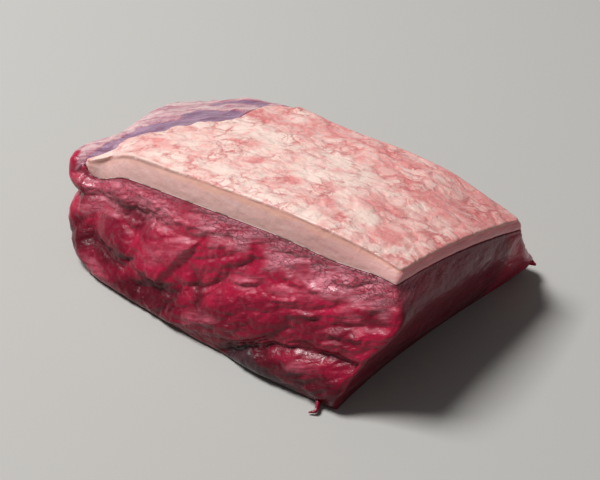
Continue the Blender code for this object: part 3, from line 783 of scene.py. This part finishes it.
def make_lean(material):
    """The block of muscle: flat base, lobed sides, knife-cut right end and rolled shoulders."""
    top = section(1.0)
    sides = side_weights(top)
    right, back, left = sides
    core = core_outline()
    inner = MIDDLE + (core - MIDDLE) * 0.5
    flat = np.zeros(len(core))
    base = [np.column_stack([outline, flat])
            for outline in (inner, core, core + (section(0.0) - core) * 0.6)]

    # The rim: rolled at the back and the left end, and swollen out where the nub is
    past_nub = face_distance(top) - NUB[0]
    on_nub = bell(past_nub, 0, np.where(past_nub < 0, NUB[1], NUB[2]))
    nub = NUB[3] * on_nub
    edge_radius = (RIM_RADII[0] + RIM_RADII[1] * back
                   + RIM_RADII[2] * left * ramp(top[:, 1], 25, 55) + NUB[4] * on_nub)
    edge_height = lean_bed(*top.T) - edge_radius
    smoothed = np.mean([np.roll(edge_height, k)
                        for k in range(-NUB_SMOOTHING, NUB_SMOOTHING + 1)], axis=0)
    dip = RIM_DIP * ramp(top[:, 1], 70, 105) * ramp(top[:, 0], -112, -142)
    sink = NUB_SINK * nub + dip - on_nub * (smoothed - edge_height)
    edge_height = edge_height - sink
    outward = outward_of(section(HOLLOW_TOP))
    rim = top + outward * nub[:, None]

    # The walls, with the relief of the muscles; the back has lobes like the front's
    outlines = np.array([section(share) for share in WALL_SHARES])
    shares = WALL_SHARES[:, None] * np.ones(len(top))
    height = shares * edge_height
    along = np.array([face_distance(outline) for outline in outlines])
    across = outlines[:, :, 1]
    on_back = ramp(along, *BACK_RANGE)
    lift = (face_relief(along, height) * (1 - on_back)
            + BACK_LIFT * face_relief(BACK_FOLD - along, height) * on_back)
    lift = lift * (1 - right) + end_relief(across, height) * right
    from_far = np.arange(len(top)) - CORNER_STEPS[0] - SIDE_STEPS[0] - 0.5 * CORNER_STEPS[1]
    lift = lift + FAR_FLARE[2] * bell(from_far, 0, FLARE_STEPS) * bell(height, *FAR_FLARE[:2])
    foot = (FOOT[2] * bell(along, *FOOT[:2])
            + FOOT_LEDGE * ramp(along, 60, 80) * ramp(along, 165, 145)) * (1 - right)
    near_nub = on_nub * ramp(shares, 0.74, 0.94)
    calm = ramp(shares, 0, 0.10) * ramp(shares, 1, 0.95) * (1 - near_nub)
    lift = lift * calm + NUB[3] * near_nub + foot * ramp(height, 9, 0)
    walls = np.dstack([outlines + outward * lift[:, :, None], height])

    # The shoulder from the rim up to the fat, and the bed under the fat
    lower = fat_outlines()[0]
    shoulder = []
    for share in SHOULDER_SHARES:
        outline = rim + (lower - rim) * share
        roll = rolled(edge_radius, np.hypot(*(outline - rim).T))
        raised = lean_bed(*outline.T) - roll - sink * (1 - share)
        raised = raised + NUB[5] * on_nub * np.sin(np.pi * share)
        shoulder.append(np.column_stack([outline, raised]))
    shoulder = np.array(shoulder)
    bed = bed_rings(lower, -BED_GAP)

    # On the shoulder silverskin lies bare, in places under a torn film with low ridges
    x, y = shoulder[:, :, 0], shoulder[:, :, 1]
    wobble = 1.4 * rough(x / 6, y / 6, 95)
    film = eased(np.interp(y, FILM_EDGE_Y, FILM_EDGE_X) - x + wobble + 0.5)
    bare = eased(1.5 - distance_to(BARE_STRIP, x + wobble, y) / BARE_STRIP_WIDTH)
    off_nub = eased((np.hypot(x - NUB_PLACE[0], y - NUB_PLACE[1]) - NUB_PLACE[2] + wobble) / 1.5)
    film = film * (1 - bare) * off_nub
    wide = ramp(np.hypot(*(lower - top).T), 2.5, 4.5)  # only where silverskin is bare
    skinned = wide * np.maximum(off_nub, ramp(x, -178, -176))
    ridged = 0.4 * film + 0.3 * rough(x / 5, y / 3, 97) * (0.3 + film)
    ridged = ridged + 0.5 * rough(x / 13, y / 9, 99)
    from_rim = ramp(np.hypot(x - top[:, 0], y - top[:, 1]), 0, 9)
    shoulder[:, :, 2] += wide * from_rim * ridged

    parts = wall_masks(walls, along, across, height, edge_height - height, sides, top)
    # Where the shoulder is narrow, a line of painted shade under the fat
    on_top = {"silver": skinned * (1 - film), "film": skinned * film, "deep": 0.35 * (1 - wide),
              "height": edge_height + np.hypot(x - rim[:, 0], y - rim[:, 1])}
    for name in ("along", "grain"):
        on_top[name] = parts[name][-1:]
    for name in ("sheen", "puckered", "cut_end"):
        on_top[name] = parts[name][-1:] * (1 - wide)
    masks = {}
    for name, wall in parts.items():
        below = np.repeat(wall[:1], len(base), axis=0)
        masks[name] = np.vstack([below, wall, on_top.get(name, 0) + 0 * x,
                                 np.zeros((len(bed), len(top)))])
    rings = np.concatenate([np.array(base), walls, shoulder, bed])
    return body_from("lean_block", rings, masks, material)


beef = lean_material()
lean_block = make_lean(beef)
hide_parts("lean")
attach(lean_block, "root")

# ---------------------------------------------------------------------------------------------
# The threads of meat
#
# Two soft threads of muscle that the knife left hanging, one at the lower near corner and one
# at the far end of the knife-cut side. They are part of the same muscle.
# ---------------------------------------------------------------------------------------------

# Points of each thread from the near lower corner, its radius at each, and how dark it is
NEAR_THREAD = ([(-12, 5, 4.4), (-8, -2, 3), (-5.6, -5.8, 2.3), (-4.4, -8.6, 1.8),
                (-6.6, -10.8, 1.1)], (2.2, 1.5, 1.0, 0.9, 0.3), 0.6)
FAR_THREAD = ([(3.5, 123, 11.8), (9.3, 129, 10.8), (13.6, 131, 9.6), (16.8, 131.8, 8.6)],
              (5.5, 3.4, 1.6, 0.5), 0.1)
THREAD_SIDES = 24  # mesh steps round a thread, and rings along it
THREAD_RINGS = 40


def make_thread(name, line, radii, darkness, material):
    """A tapered thread: rings square to a smooth curve through its points."""
    line = np.array(line, float)
    knots = np.linspace(0, 1, len(line))
    shares = np.linspace(0, 1, THREAD_RINGS)
    centres = np.array([between(knots, line, share) for share in shares])
    turn = np.linspace(0, 2 * np.pi, THREAD_SIDES, endpoint=False)[:, None]
    rings = []
    for k, centre in enumerate(centres):
        run = centres[min(k + 1, THREAD_RINGS - 1)] - centres[max(k - 1, 0)]
        run = run / np.linalg.norm(run)
        first = np.cross(run, (0, 0, 1))
        first = first / np.linalg.norm(first)
        second = np.cross(run, first)
        lumps = 1 + 0.14 * rough(turn * 0.8, turn * 0 + shares[k] * 6, 111)
        radius = np.interp(shares[k], knots, radii) * lumps
        rings.append(centre + radius * (np.cos(turn) * first + np.sin(turn) * second))
    dark = {"deep": np.full((THREAD_RINGS, THREAD_SIDES), darkness)}
    return body_from(name, rings, dark, material)


for thread in (make_thread("near_thread", *NEAR_THREAD, beef),
               make_thread("far_thread", *FAR_THREAD, beef)):
    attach(thread, "root")

# ---------------------------------------------------------------------------------------------
# The fat cap
#
# The layer of hard white fat that grows on the outside of the muscle. It was trimmed thin with
# a knife, cut square with the meat at the front and the right end, and shaved off at the left.
# ---------------------------------------------------------------------------------------------

# Where the mesh has rings: up the cut face, in over the top, and on to the middle
CUT_SHARES = np.linspace(0, 1, 17)
TOP_SHARES = np.concatenate([[0.004, 0.012, 0.022, 0.034], np.linspace(0.048, 1.0, 42)])
MIDDLE_SHARES = np.linspace(0.03, 0.97, 30)
FAT_EDGE = (1.2, 2.0, 1.0)  # radius of its upper edge, and what the back and the left add
CUT_BULGE = 0.5  # how far the cut face swells out, mm
BLUSH = (0.34, 0.40, 0.40, 0.3)  # pink all over, more at the right and back, less in front
LOBULE = (11.0, 7.5)  # mm, length and width of one lobule of fat
SMALL_LOBULE = (5.5, 3.6)
LOBULE_TURN = 8.0  # degrees, the lie of the lobules

# Redder patches on the top: x, y, half length, half width and tilt
BLUSHES = [
    (-89, 52, 6, 3.5, 20), (-109, 60, 7, 2.2, 5), (-36, 86, 13, 4, 10), (-10, 84, 12, 6, 45),
    (4, 54, 7, 4, 40), (-7, 43, 6, 4, 0), (-80, 102, 7, 3.5, 60), (-118, 92, 14, 5, 10),
    (8, 98, 8, 5, 60), (-58, 104, 20, 4, -6), (14, 66, 5, 12, 0), (-66, 46, 8, 3, 0),
    (-140, 40, 14, 3, -12), (-24, 56, 9, 3, 30), (-30, 38, 8, 2, -20),
]
# Clean, pale lobules
CREAMS = [
    (4, 38, 5, 4, 30), (-46, 61, 6, 4, 20), (-125, 75, 13, 7, 20), (-100, 76, 10, 5, 0),
    (-62, 78, 8, 4, -20), (-90, 34, 14, 4, -4), (-60, 56, 8, 4, 10), (-20, 46, 6, 4, 0),
]

# Raw beef fat, cold and firm: a matt cream that light sinks into, in lobules parted by thin
# pink membranes. Its cut face is smooth and greyer, with a peach skin along its upper edge.
FAT_CREAM = "#ecd0c5"
FAT_PINK = "#dc8f8c"
FAT_MEMBRANE = "#bd5f60"
FAT_CUT = "#e4c0b9"
FAT_CUT_PINK = "#cf9590"
FAT_SKIN = "#e8af9a"
# A painted warm glow: the knife-cut end's face is pinker and brighter, as light bounced off the
# meat
FAT_PAINTED_WARM_GLOW = "#f3939b"
FAT_LOOK = ((0.36, 0.55), 1.45, (0.35, 3.0), (1.0, 0.5, 0.35), (0.25, 0.2))  # as for the meat
CREAM_EDGE = (0.02, 0.26)  # a lobule's cream fades out between these, in lobules
MEMBRANE = 0.62  # strength of the soft lines between lobules
FAT_MOTTLE_SIZE = 7.0  # mm, changes from cream to pink
FAT_GRIT_SIZE = 1.5  # mm, the fine unevenness of the surface
STREAK_SIZE = 3.0  # mm, faint streaks along the cut face
FADING_SIZE = 16.0  # mm, stretches over which the membranes fade in and out
BEND_SIZE = 9.0  # mm, the waver of the lobules' borders, and how far they go
BEND = 12.0


def fat_material():
    material, add = empty_material("raw_beef_fat")
    place = add("TexCoord", {}, {})["Object"]
    masks = {}
    for name in ("blush", "cut", "skin", "end"):
        masks[name] = add("Attribute", {"attribute_name": name}, {})["Fac"]
    stretched = add("VectorMath", {"operation": "MULTIPLY"}, {
        0: place, 1: (0.35, 0.35, 1.4)})["Vector"]
    mottle, grit, streaks, fading = add_each(add, "TexNoise", {}, NOISE_INPUTS, [
        (place, 1 / (FAT_MOTTLE_SIZE * MM), 5.0, 0.62, 0.6),
        (place, 1 / (FAT_GRIT_SIZE * MM), 3.0, 0.6, 0.0),
        (stretched, 1 / (STREAK_SIZE * MM), 3.0, 0.6, 0.0),
        (place, 1 / (FADING_SIZE * MM), 3.0, 0.6, 0.0)])
    bend = add("TexNoise", {}, {
        "Vector": place, "Scale": 1 / (BEND_SIZE * MM), "Detail": 4.0, "Roughness": 0.6})["Color"]
    bent = add("VectorMath", {"operation": "MULTIPLY_ADD"}, {
        0: bend, 1: (BEND * MM, BEND * MM, 0.0), 2: place})["Vector"]

    # The pink of the surface: the blush of each region, broken up
    blush = add("Math", {"operation": "SUBTRACT"}, {0: masks["blush"], 1: 1.1})[0]
    pinkness = add("Math", {"operation": "MULTIPLY_ADD", "use_clamp": True}, {
        0: mottle, 1: 2.2, 2: blush})[0]
    paler = add("Math", {"operation": "MULTIPLY_ADD"}, {0: pinkness, 1: -0.55, 2: 1.0})[0]
    layers = [(pinkness, FAT_PINK)]

    # Lobules: some stand out as cream islands, with a soft redder membrane along their borders
    # that fades in and out
    lumps = []
    for (length, width), island, line_width in ((LOBULE, 0.8, 0.17), (SMALL_LOBULE, 0.36, 0.14)):
        cell_place = add("Mapping", {"vector_type": "TEXTURE"}, {
            "Vector": bent, "Rotation": (0.0, 0.0, np.radians(LOBULE_TURN)),
            "Scale": (length * MM, width * MM, 1.0)})["Vector"]
        cell = add("TexVoronoi", {"voronoi_dimensions": "2D"}, {
            "Vector": cell_place, "Scale": 1.0})["Color"]
        cell = add("SeparateColor", {}, {"Color": cell})["Red"]
        border = add("TexVoronoi", {"voronoi_dimensions": "2D", "feature": "DISTANCE_TO_EDGE"}, {
            "Vector": cell_place, "Scale": 1.0})["Distance"]
        inside, chosen, line, kept = add_each(
            add, "MapRange", {"interpolation_type": "SMOOTHSTEP"}, RANGE_INPUTS, [
                (border, *CREAM_EDGE, 0.0, 1.0), (cell, 0.3, 0.8, 0.0, island),
                (border, 0.0, line_width, MEMBRANE, 0.0), (fading, 0.45, 0.64, 0.0, 1.0)])
        lumps.append(inside)
        chosen = add("Math", {"operation": "MULTIPLY"}, {0: chosen, 1: paler})[0]
        for one, other, laid in ((inside, chosen, FAT_CREAM), (line, kept, FAT_MEMBRANE)):
            share = add("Math", {"operation": "MULTIPLY"}, {0: one, 1: other})[0]
            layers.append((share, laid))

    cut_colour = add("Mix", {"data_type": "RGBA"}, {
        0: streaks, 6: FAT_CUT, 7: FAT_CUT_PINK})[2]
    layers += [(masks["cut"], cut_colour), (masks["skin"], FAT_SKIN), (masks["end"], FAT_PAINTED_WARM_GLOW)]
    colour = FAT_CREAM
    for mask, laid in layers:
        colour = add("Mix", {"data_type": "RGBA"}, {0: mask, 6: colour, 7: laid})[2]
    on_top = add("Math", {"operation": "SUBTRACT"}, {0: 1.0, 1: masks["cut"]})[0]
    raised = add("Math", {"operation": "MULTIPLY"}, {0: lumps[0], 1: on_top})[0]
    reliefs = [(mottle, 1.2, 0.4), (raised, 0.7, 0.45), (grit, 0.25, 0.5)]
    moist_surface(add, colour, reliefs, mottle, FAT_LOOK)
    return material


def make_fat_cap(material):
    """The fat cap: cut square at the front and the right, trimmed to a thin edge at the left."""
    lower, upper = fat_outlines()
    core = core_outline()
    bed = bed_rings(lower, SEAM_GAP)[::-1]
    low = bed[-1, :, 2]
    crown_edge = crown(*upper.T)
    room = crown_edge - low
    edge = FAT_EDGE[0] + FAT_EDGE[1] * ramp(upper[:, 1], 90, 110) * ramp(upper[:, 0], 8, -2)
    edge = edge + FAT_EDGE[2] * ramp(upper[:, 0], -90, -130)
    edge_drop = np.minimum(edge, 0.6 * room)
    high = crown_edge - edge_drop

    # The cut face, with a slight bulge and the ripples of the knife
    cut = np.array([np.column_stack([lower + (upper - lower) * share, low + (high - low) * share])
                    for share in CUT_SHARES])
    x, y, z = np.moveaxis(cut, -1, 0)
    ripple = 0.16 * rough((x + y) / 11, z / 4, 121) + 0.05 * rough((x + y) / 3, z / 2, 123)
    bulge = CUT_BULGE * np.sin(np.pi * CUT_SHARES)[:, None]
    cut[:, :, :2] += outward_of(lower) * (ripple + bulge)[:, :, None] * eased(room / 5)[:, None]

    # The top, with a rounded edge and low lumps
    outlines = [upper + (core - upper) * share for share in TOP_SHARES]
    outlines += [core + (MIDDLE - core) * share for share in MIDDLE_SHARES]
    x, y = np.moveaxis(np.array(outlines), -1, 0)
    inset = np.hypot(x - upper[:, 0], y - upper[:, 1])
    roll = rolled(edge, inset) * edge_drop / edge
    relief = (0.7 * swell(x / 24, y / 18, 41) + 0.35 * rough(x / 9, y / 6, 151)
              - 0.25 * np.abs(swell(x / 12, y / 7, 153)))
    top = np.dstack([x, y, crown(x, y) + relief * np.clip(inset / 5, 0, 1) - roll])

    blush = BLUSH[0] + BLUSH[1] * ramp(x, -70, 20) + BLUSH[2] * ramp(y, 72, 112)
    blush = blush - BLUSH[3] * ramp(y, 38, 26) * ramp(x, -90, -50)
    blush = blush + 0.35 * rough(x / 17, y / 11, 161)
    ragged = 0.4 * rough(x / 6, y / 5, 163)
    for spots, most in ((BLUSHES, 0.75), (CREAMS, -0.6)):
        for at_x, at_y, *size in spots:
            blush = blush + most * eased(1.4 - reach_of(x - at_x, y - at_y, *size) + ragged)
    near_cut = ramp(upper[:, 0], -176, -166) * ramp(upper[:, 1], 40, 30)
    near_cut = np.maximum(near_cut, ramp(upper[:, 0], 6, 11))
    frayed = CUT_SHARES[:, None] - 0.10 * rough(cut[:, :, 0] / 12, cut[:, :, 1] / 12, 171)
    peach = ramp(frayed, 0.70, 0.90) * (0.35 + 0.35 * ramp(upper[:, 0], -125, -95))
    # The knife-cut end's face gets the painted warm glow
    end = 0.7 * ramp(upper[:, 0], 9, 12) + 0.12 * ramp(upper[:, 0], -70, -10) * near_cut

    # Each mask: on the top, on the cut face and underneath
    parts = {
        "blush": (blush, 0.5, 0.5),
        "cut": (0.5 * near_cut * ramp(inset, 0.7, 0), near_cut, 1.0),
        "skin": (0.12 * near_cut * ramp(inset, 1.2, 0), peach * near_cut, 0.0),
        "end": (0.0, end, 0.0),
    }
    masks = {}
    for name, (on_top, on_cut, below) in parts.items():
        masks[name] = np.vstack([below + 0 * bed[:, :, 0], on_cut + 0 * cut[:, :, 0],
                                 on_top + 0 * x])
    return body_from("fat_layer", np.concatenate([bed, cut, top]), masks, material)


fat_layer = make_fat_cap(fat_material())
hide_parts("fat_cap")
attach(fat_layer, "root")

# ---------------------------------------------------------------------------------------------
# Floor, light and camera
#
# A plain pale floor, one large soft light from the upper left and a weak fill from all round,
# so that the knife-cut end stays in shade.
# ---------------------------------------------------------------------------------------------

FLOOR_SIZE = 6.0
FLOOR_COLOUR = "#b2b0ac"
FLOOR_ROUGHNESS = 0.8
KEY_TOWARDS = (-0.44, -0.14, 0.87)
KEY_DISTANCE = 2.0
KEY_SIZE = 0.7
KEY_WATTS = 49.0
KEY_TARGET = (0, 0, 0.03)
FILL_STRENGTH = 0.12
CAMERA_ELEVATION = 37.0
CAMERA_AZIMUTH = 40.0
CAMERA_DISTANCE = 0.75
CAMERA_TARGET = np.array([-0.0070, 0.0211, 0.0])
CAMERA_LENS = 90.0

# Matt paint: it shows no picture of the meat, only its shadow
painted, add = empty_material("matt_painted_floor")
shader = add("BsdfPrincipled", {}, {"Base Color": FLOOR_COLOUR, "Roughness": FLOOR_ROUGHNESS})
add("OutputMaterial", {}, {"Surface": shader[0]})
floor_mesh = bpy.data.meshes.new("floor")
half = FLOOR_SIZE / 2
floor_mesh.from_pydata([(-half, -half, 0), (half, -half, 0), (half, half, 0), (-half, half, 0)],
                       [], [(0, 1, 2, 3)])
floor_mesh.materials.append(painted)
floor = put_in_scene("floor", floor_mesh)


def aim(holder, place, target):
    """Puts a lamp or a camera at a place, turned to look at a target."""
    away = Vector(place) - Vector(target)
    holder.location = place
    holder.rotation_euler = away.to_track_quat("Z", "Y").to_euler()


towards = np.array(KEY_TOWARDS) / np.linalg.norm(KEY_TOWARDS)
key_data = bpy.data.lights.new("key", "AREA")
key_data.shape = "SQUARE"
key_data.size = KEY_SIZE
key_data.energy = KEY_WATTS
aim(put_in_scene("key", key_data), tuple(towards * KEY_DISTANCE), KEY_TARGET)

world = bpy.data.worlds.new("fill")
world.use_nodes = True
sky = world.node_tree.nodes["Background"].inputs
sky["Color"].default_value = (1.0, 1.0, 1.0, 1.0)
sky["Strength"].default_value = FILL_STRENGTH
bpy.context.scene.world = world

camera_data = bpy.data.cameras.new("camera")
camera_data.lens = CAMERA_LENS
camera = put_in_scene("camera", camera_data)
up, round_ = np.radians(CAMERA_ELEVATION), np.radians(CAMERA_AZIMUTH)
side = np.array([np.sin(round_) * np.cos(up), -np.cos(round_) * np.cos(up), np.sin(up)])
aim(camera, tuple(CAMERA_TARGET + side * CAMERA_DISTANCE), tuple(CAMERA_TARGET))
bpy.context.scene.camera = camera
bpy.context.scene.view_settings.view_transform = "Standard"
